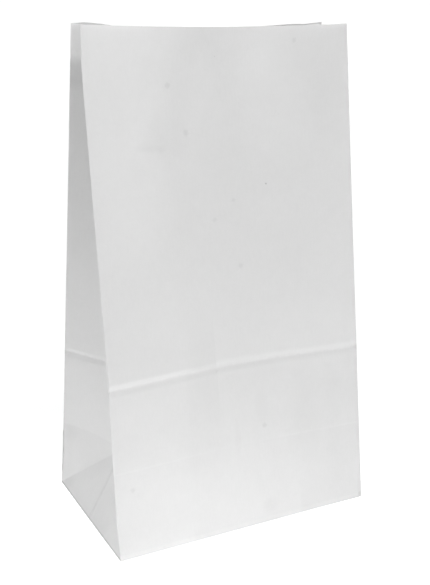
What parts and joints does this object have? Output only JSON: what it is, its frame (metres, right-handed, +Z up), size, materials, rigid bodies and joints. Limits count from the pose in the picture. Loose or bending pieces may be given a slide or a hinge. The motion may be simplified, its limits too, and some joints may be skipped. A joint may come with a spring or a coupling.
{
  "type": "paper grocery bag",
  "caption": "Plain white paper bag with tucked side gussets, a folded flat base and an open top, standing empty with its mouth drawn nearly shut.",
  "frame": {"origin": "middle of the flat base, on the surface the bag stands on", "axes": "+Z up to the open mouth; +X along the wide front panel, which faces -Y; the tucked gussets face -X and +X"},
  "size_m": [0.18, 0.11, 0.318],
  "materials": {
    "paper": "matt white kraft paper, finely mottled, with soft fold lines and a few grey specks"
  },
  "bodies": {
    "root": {"paper_bag": "paper"}
  },
  "joints": []
}
